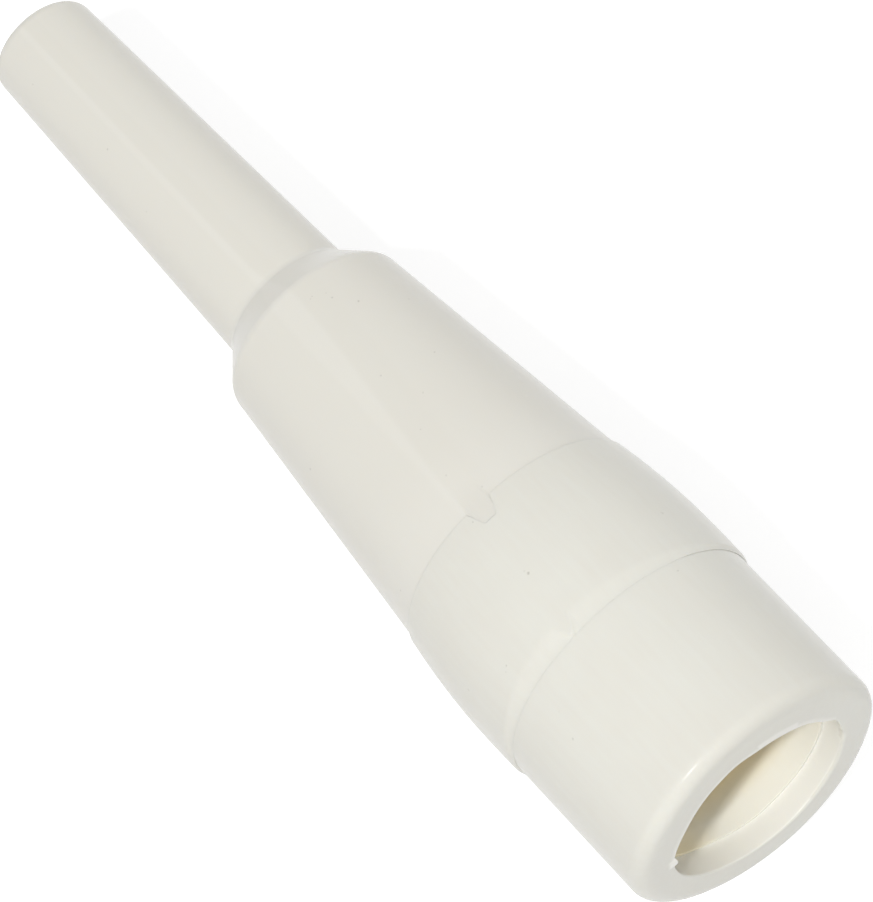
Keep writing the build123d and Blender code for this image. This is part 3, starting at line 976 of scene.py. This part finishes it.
# ------------------------------------------------------------------ absorber rings
# Six rings of needled polyester felt, punched from sheet and threaded over the gauze. They
# shrink with the body's bore and soak up the sound.
def felt(name):
    """Needled felt: matted fibres in three directions, with painted shade in the hollows between them."""
    material, tree, shader, place = finish(name)
    matted = None
    for pull in ((0.2, 1.0, 1.0), (1.0, 0.2, 0.7), (0.8, 1.0, 0.2)):
        fibres = mottled(tree, stretched(tree, place, pull), 3200.0, detail=3.0, distortion=1.4)
        matted = arithmetic(tree, "MAXIMUM", matted, fibres) if matted else fibres
    depth = ramp(tree, matted, 0.45, 0.75)
    base = blended(tree, mottled(tree, place, 180.0), (0.70, 0.67, 0.60), (0.80, 0.775, 0.71))
    # Painted shade in the hollows between the fibres.
    wire(tree, blended(tree, depth, (0.52, 0.49, 0.43), base), shader["Base Color"])
    settle(shader, {"Roughness": 0.95, "Sheen Weight": 0.25})
    relief(tree, shader, depth, 0.7, 0.15 * mm)
    return material


absorber_felt = felt("absorber felt")
felt_bore = gauze_high.z + 0.02 * mm
for number in range(1, 7):
    felt_low, felt_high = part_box(f"absorber_ring_{number}")
    edge_x = (felt_low.x + felt_high.x) / 2

    def matted_skin(x, radius, angle):
        """Uneven felt, pressed in by up to 0.2 mm from its punched size."""
        turn = math.radians(angle)
        spot = Vector((x, radius * math.cos(turn), radius * math.sin(turn))) * 700
        pressed = 0.1 * mm * (1 + noise.noise(spot)) + 0.05 * mm * (1 + noise.noise(spot * 2.3))
        inward = math.copysign(pressed, edge_x - x) * min(1.0, abs(edge_x - x) / (3 * mm))
        if radius > felt_high.z - 1.0 * mm:
            return x + inward * 0.4, radius - pressed
        return x + inward * 0.4, radius + pressed * 0.5 if radius < felt_bore + 0.6 * mm else radius

    felt_outline = square_ring(felt_high.x, felt_low.x, felt_high.z, felt_bore, 0.6 * mm, 0.3 * mm,
                               row=0.7 * mm, steps=4)
    absorber_ring = turned(f"absorber_felt_{number}", felt_outline, spokes(2.5), matted_skin)
    fit(absorber_ring, absorber_felt, f"absorber_ring_{number}", "muffler_body")


# ------------------------------------------------------------------ rear baffle
# Moulded disc on the ledge at the shoulder. Its boss plugs the core tube, so all the air has
# to come back out of the felt through its ring of holes.
rear_low, rear_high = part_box("rear_baffle")
rear_front = core_low.x
boss_radius = core_bore - 0.02 * mm
rear_circle = 8.8 * mm
rear_tile_half = 2.1 * mm
rear_tile_low = rear_circle - rear_tile_half
rear_tile_high = rear_circle + rear_tile_half
boss_edge = 0.4 * mm
boss_outline = [(rear_front, rear_tile_low), (rear_front, boss_radius + 0.3 * mm),
                (rear_front + 0.09 * mm, boss_radius + 0.09 * mm), (rear_front + 0.3 * mm, boss_radius),
                (rear_high.x - 2 * boss_edge, boss_radius)]
boss_outline += [(rear_high.x - boss_edge * (1 - math.sin(math.pi / 8 * place)),
                  boss_radius - boss_edge * (1 - math.cos(math.pi / 8 * place))) for place in range(5)]
boss_outline += [(rear_high.x, boss_radius - 2 * boss_edge), (rear_high.x, 2.5 * mm), (rear_high.x, 0.0)]
back_outline = [(rear_low.x, radius) for radius in (rear_tile_low, 5.0 * mm, 2.5 * mm, 0.0)]
rear_baffle = pierced("rear_baffle_disc",
                      [rim(rear_front, rear_low.x, rear_tile_high, rear_high.z, 0.2 * mm),
                       boss_outline, back_outline],
                      45, rear_tile_low, rear_tile_high, baffle_hole, on_disc(rear_front, rear_low.x))
grown(rear_baffle, repeat_tree, Around=8, Rows=1, Material=baffle_plastic)
fit(rear_baffle, baffle_plastic, "rear_baffle", "muffler_body")


# ------------------------------------------------------------------ tail casing
# Tapered body, shoulder and tail tube in one moulding, made in two half moulds that left a
# faint parting line on either side. Its tongue keys into the flare's notch.
tail_low, tail_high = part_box("tail_casing")
plug_low, plug_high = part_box("tail_plug")
stop_low, stop_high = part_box("tail_retaining_ring")
tail_tip = tail_low.x + 0.3 * mm
spigot_front = tail_high.x
seam_x = flare_back
tail_front_radius = 18.75 * mm
body_back = -93.8 * mm
body_back_radius = 14.4 * mm
tube_base = -99.5 * mm
tube_base_radius = 10.1 * mm
tip_radius = 8.15 * mm
outlet_radius = 6.2 * mm
spigot_radius = 17.58 * mm
ledge_radius = 11.5 * mm
throat_radius = 5.4 * mm
stop_groove = stop_high.z + 0.02 * mm

tail_outline = rounded([
    (tail_tip, outlet_radius, 0.3 * mm),
    (tail_tip, tip_radius, 1.62 * mm),
    (tube_base, tube_base_radius, 2.2 * mm),
    (body_back, body_back_radius, 2.4 * mm),
    (seam_x, tail_front_radius, 0.1 * mm),
    (seam_x, spigot_radius, 0.05 * mm),
    (spigot_front, spigot_radius, 0.3 * mm),
    (spigot_front, spigot_bore, 0.2 * mm),
    (seam_x, spigot_bore, 0.0),
    (rear_low.x, rear_high.z + 0.02 * mm, 0.05 * mm),
    (rear_low.x, ledge_radius, 0.2 * mm),
    (rear_low.x - 5.5 * mm, 7.6 * mm, 1.0 * mm),
    (plug_high.x, throat_radius, 0.1 * mm),
    (plug_high.x, outlet_radius, 0.1 * mm),
    (stop_high.x, outlet_radius, 0.1 * mm),
    (stop_high.x, stop_groove, 0.1 * mm),
    (stop_low.x, stop_groove, 0.1 * mm),
    (stop_low.x, outlet_radius, 0.1 * mm),
], row=1.4 * mm)


ridge_height = 0.008 * mm
ridge_width = 0.8
tongue_lift = 0.34 * mm
body_tone = 0.65
# Angle where the painted sheen strip beside the parting line ends.
sheen_strip_angle = 121.5
tail_light = (0.85, 0.842, 0.79)
tail_deep = (0.845, 0.828, 0.775)


def parting_angle(x):
    """Where the parting line runs. It bends a little towards the tongue along the body."""
    along = x / mm
    return 117.0 - 8.5 * eased((along + 103) / 10) + 12.0 * eased((along + 100) / 52)


def body_skin(x):
    """Outer radius of the tail casing, roundings left out."""
    if x > body_back:
        share = (x - body_back) / (seam_x - body_back)
        return body_back_radius + (tail_front_radius - body_back_radius) * share
    if x > tube_base:
        share = (x - tube_base) / (body_back - tube_base)
        return tube_base_radius + (body_back_radius - tube_base_radius) * share
    share = (x - tail_tip) / (tube_base - tail_tip)
    return tip_radius + (tube_base_radius - tip_radius) * share


def tail_detail(x, radius, angle):
    """Tongue at the seam and the raised parting lines."""
    reach = tongue_reach(angle)
    here = x
    out = radius
    if reach > 0:
        fade = easing_length if x >= seam_x else 8.0 * mm
        here = x + reach * max(0.0, 1 - abs(x - seam_x) / fade)
        if radius > 18.0 * mm:
            share = min(1.0, reach / (1.2 * mm))
            flush = flare_radius(here) - flare_back_radius if here > seam_x else 0.0
            lift = tongue_lift * eased((here - seam_x + 2.4 * mm) / (2.8 * mm))
            edge = max(0.0, body_skin(x) - radius) if x > seam_x - 0.2 * mm else 0.0
            out = radius + flush + (lift + edge) * share
    if radius > 8.0 * mm and x < seam_x - 0.6 * mm and radius > body_skin(x) - 0.5 * mm:
        for line in (parting_angle(x), parting_angle(x) + 180):
            away = math.radians((angle - line + 180) % 360 - 180) * radius / mm
            out += ridge_height * math.exp(-(away / ridge_width) ** 2)
    return here, out


def tail_painted_light_and_tone(x, radius, angle):
    """Painted sheen and shade beside each parting line: a paler strip on one side, a darker band on
    the other. Painted light makes the shoulder paler, and the body is paler towards the seam."""
    level = body_tone
    if radius < body_skin(min(x, seam_x)) - 1.0 * mm:
        return level
    for turn in (0, 180):
        away = (angle - parting_angle(x) - turn + 180) % 360 - 180
        strip = (angle - sheen_strip_angle - turn + 180) % 360 - 180
        # A painted sheen strip beside each parting line, and painted shade in a band on its other side.
        level -= 0.09 * eased((away + 2.6) / 2.8) * eased(-strip / 4 + 0.5)
        level += 0.06 * eased((away + 20) / 6) * eased(-(away + 1.0) / 3.0)
    level -= 0.12 * eased((x - seam_x + 14 * mm) / (14 * mm))
    # Painted light on the shoulder.
    return level - 0.3 * eased((x + 100.5 * mm) / (1.5 * mm)) * eased((-92.8 * mm - x) / (1.6 * mm))


tail_casing = turned("tail_casing_shell", tail_outline,
                     spokes(2.0, [(99, 125, 0.4), (284, 306, 0.5)]), tail_detail)
tone(tail_casing, tail_painted_light_and_tone)
tail_plastic = moulded_plastic(
    "tail plastic", tail_light, tail_deep, shell_roughness, shell_shade,
    flecks=flecks_on(body_skin, (
        (-85.6, 85.6, 0.26, 0.45), (-88.4, 94.2, 0.28, 0.3), (-89.6, 94.9, 0.18, 0.3),
        (-90.5, 101.4, 0.22, 0.25), (-90.3, 103.2, 0.18, 0.2), (-67.6, 96.7, 0.22, 0.35),
        (-73.8, 105.0, 0.24, 0.3), (-63.4, 109.0, 0.20, 0.25), (-72.2, 77.5, 0.22, 0.25),
        (-74.3, 166.7, 0.24, 0.4), (-51.8, 169.0, 0.22, 0.35), (-133.0, 135.8, 0.24, 0.3),
        (-121.8, 149.0, 0.20, 0.25), (-150.0, 148.3, 0.22, 0.25), (-82.6, 61.7, 0.22, 0.25),
        (-55.6, 114.8, 0.20, 0.3), (-50.6, 107.4, 0.20, 0.3))))
fit(tail_casing, tail_plastic, "tail_casing", "muffler_body")


# ------------------------------------------------------------------ tail plug
# Plug of sintered polyethylene beads, pushed up to the step in the tail tube. The last of the
# noise is lost in its pores.
def beads(name):
    """Sintered plastic: pale beads fused where they touch, with painted shade in the pores between them."""
    material, tree, shader, place = finish(name)
    bead = node(tree, "ShaderNodeTexVoronoi", {"Vector": place, "Scale": 2200.0}).outputs
    shade = node(tree, "ShaderNodeSeparateColor", {0: bead["Color"]}).outputs[0]
    pale = blended(tree, shade, (0.80, 0.785, 0.73), (0.86, 0.85, 0.81))
    pores = ramp(tree, bead["Distance"], 0.35, 0.72)
    # Painted shade in the pores.
    wire(tree, blended(tree, pores, pale, (0.36, 0.34, 0.30)), shader["Base Color"])
    settle(shader, {"Roughness": 0.6, "Subsurface Weight": 0.15, "Subsurface Radius": depth_of_glow,
                    "Subsurface Scale": 0.5 * mm})
    relief(tree, shader, bead["Distance"], 0.8, 0.2 * mm, invert=True)
    return material


plug_radius = plug_high.z


def beaded_end(x, radius, angle):
    """The beads stand out unevenly on the plug's two ends."""
    turn = math.radians(angle)
    spot = Vector((x, radius * math.cos(turn), radius * math.sin(turn))) * 2600
    sunk = 0.06 * mm * (1 + noise.noise(spot))
    if radius > plug_radius - 0.05 * mm:
        return x, radius
    return x + math.copysign(sunk, (plug_low.x + plug_high.x) / 2 - x), radius


plug_outline = []
end_edge = 0.3 * mm
for end, way in ((plug_high.x, -1), (plug_low.x, 1)):
    face = [(end, (plug_radius - end_edge) * place / 26) for place in range(27)]
    corner = [(end + way * end_edge * (1 - math.cos(math.pi / 8 * place)),
               plug_radius - end_edge * (1 - math.sin(math.pi / 8 * place))) for place in range(1, 5)]
    stretch = face + corner if way < 0 else (face + corner)[::-1]
    plug_outline += stretch
    if way < 0:
        plug_outline += [(end - 1.6 * mm * place, plug_radius) for place in range(1, 6)]
tail_plug = turned("tail_plug_beads", plug_outline, spokes(2.5), beaded_end, closed=False)
porous_plastic = beads("sintered beads")
fit(tail_plug, porous_plastic, "tail_plug", "muffler_body")


# ------------------------------------------------------------------ tail screen
# Round of woven steel wire with its cut edge rolled into a rim. It keeps the porous plug in
# place and the dirt out.
screen_low, screen_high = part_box("tail_screen")
screen_middle = (screen_low.x + screen_high.x) / 2
screen_radius = screen_high.z
rim_width = 0.62 * mm
screen_wire = 0.13 * mm
tail_screen = grown(placed("tail_screen_weave", bpy.data.meshes.new("tail_screen_weave")), weave_tree,
                    Wires=15, Cross_Wires=15, Pitch=0.74 * mm, Steps=6, Wire_Radius=screen_wire,
                    Wave=screen_wire * 0.95, Blank_Radius=screen_radius - rim_width / 2,
                    Material=wire_steel)
for point in tail_screen.data.vertices:
    point.co = (screen_middle + point.co.z, point.co.x, point.co.y)
rim_edge = 0.2 * mm
rim_outline = square_ring(screen_high.x, screen_low.x, screen_radius, screen_radius - rim_width,
                          rim_edge, rim_edge, row=0.4 * mm, steps=4)
rolled_rim = turned("rolled_rim", rim_outline, spokes(3.0))
both = bmesh.new()
both.from_mesh(tail_screen.data)
both.from_mesh(rolled_rim.data)
bmesh.ops.recalc_face_normals(both, faces=both.faces)
both.to_mesh(tail_screen.data)
both.free()
bpy.data.objects.remove(rolled_rim)
fit(tail_screen, wire_steel, "tail_screen", "muffler_body")


# ------------------------------------------------------------------ tail retaining ring
# Internal spring ring of flat steel, snapped into the groove at the tail's end behind the
# screen.
tail_ring = open_ring("tail_retaining_clip", stop_high.x, stop_low.x, stop_high.z, 5.2 * mm,
                      gap_middle=250, gap=8, edge=0.12 * mm)
fit(tail_ring, spring_steel, "tail_retaining_ring", "muffler_body")


# ------------------------------------------------------------------ studio floor
# Plain pale sheet of matt paper a little below the muffler. It looks white and keeps the
# muffler's shadow.
floor_mesh = bpy.data.meshes.new("studio_floor")
floor_height = -21.2 * mm
floor_reach = 3.0
floor_mesh.from_pydata([(x * floor_reach, y * floor_reach, floor_height)
                        for x, y in ((-1, -1), (1, -1), (1, 1), (-1, 1))], [], [(0, 1, 2, 3)])
studio_floor = placed("studio_floor", floor_mesh)
paper = bpy.data.materials.new("studio paper")
paper.use_nodes = True
paper_tree = paper.node_tree
paper_tree.nodes.clear()


def background_seen(tree):
    """1 for what the camera, a reflection or clear plastic sees, 0 for what lights the piece."""
    path = node(tree, "ShaderNodeLightPath").outputs
    direct = arithmetic(tree, "MAXIMUM", path["Is Camera Ray"], path["Is Glossy Ray"])
    return arithmetic(tree, "MAXIMUM", direct, path["Is Transmission Ray"])


paper_grey = (0.54, 0.54, 0.54, 1)
glow_level = 0.68
paper_matt = node(paper_tree, "ShaderNodeBsdfDiffuse", {"Color": paper_grey})
glow = arithmetic(paper_tree, "MULTIPLY", background_seen(paper_tree), glow_level)
paper_glow = node(paper_tree, "ShaderNodeEmission", {"Strength": glow})
paper_sum = node(paper_tree, "ShaderNodeAddShader", {0: paper_matt.outputs[0], 1: paper_glow.outputs[0]})
node(paper_tree, "ShaderNodeOutputMaterial", {"Surface": paper_sum.outputs[0]})
floor_mesh.materials.append(paper)


# ------------------------------------------------------------------ light
# Even light from all round. One lamp stands above on the -Y side, with a small one beside it
# that glints on the rim, a broad one is on the far side, and two weak ones reach into the mouth.
world = bpy.data.worlds.new("studio")
bpy.context.scene.world = world
world.use_nodes = True
room_light = 0.42
air = world.node_tree
sky = air.nodes["Background"].inputs
sky["Color"].default_value = (1.0, 1.0, 1.0, 1)
wire(air, arithmetic(air, "MULTIPLY_ADD", background_seen(air), 1 - room_light, room_light), sky["Strength"])


def lamp(name, place, target, size, power, mirrored=False):
    """Round soft lamp. Only a mirrored lamp shows in glossy surfaces."""
    light = bpy.data.lights.new(name, "AREA")
    light.shape = "DISK"
    light.size = size
    light.energy = power
    holder = placed(name, light)
    holder.location = place
    holder.rotation_euler = (Vector(target) - Vector(place)).to_track_quat("-Z", "Y").to_euler()
    holder.visible_glossy = mirrored


lamp("key lamp", (0.600, -1.094, 1.562), (0, 0, 0), 0.13, 16.6)
lamp("glint lamp", (0.600, -1.348, 1.348), (0, 0, 0), 0.08, 5.6, mirrored=True)
lamp("far side lamp", (-0.55, 0.95, 0.45), (-0.08, 0, 0), 0.9, 3.2)
lamp("mouth lamp", (0.60, -0.40, 0.69), (0, 0, 0), 0.35, 1.3)
lamp("front lamp", (0.85, 0.35, 0.40), (0, 0, 0), 0.35, 0.3)


# ------------------------------------------------------------------ camera
# Long lens high above the mouth's side, so that the muffler runs away from it and up to the
# left.
azimuth = math.radians(51.88)
elevation = math.radians(55.544)
right = Vector((math.cos(azimuth), math.sin(azimuth), 0))
up = Vector((-math.sin(azimuth) * math.sin(elevation), math.cos(azimuth) * math.sin(elevation),
             math.cos(elevation)))
back = right.cross(up)
camera_data = bpy.data.cameras.new("camera")
camera_data.sensor_width = 36
camera_data.lens = 199.557
camera_data.clip_start = 0.01
camera = placed("camera", camera_data)
camera.matrix_world = Matrix.Translation((0.231223, -0.234202, 0.554761)) @ \
    Matrix((right, up, back)).transposed().to_4x4()
bpy.context.scene.camera = camera
bpy.context.scene.view_settings.view_transform = "Standard"
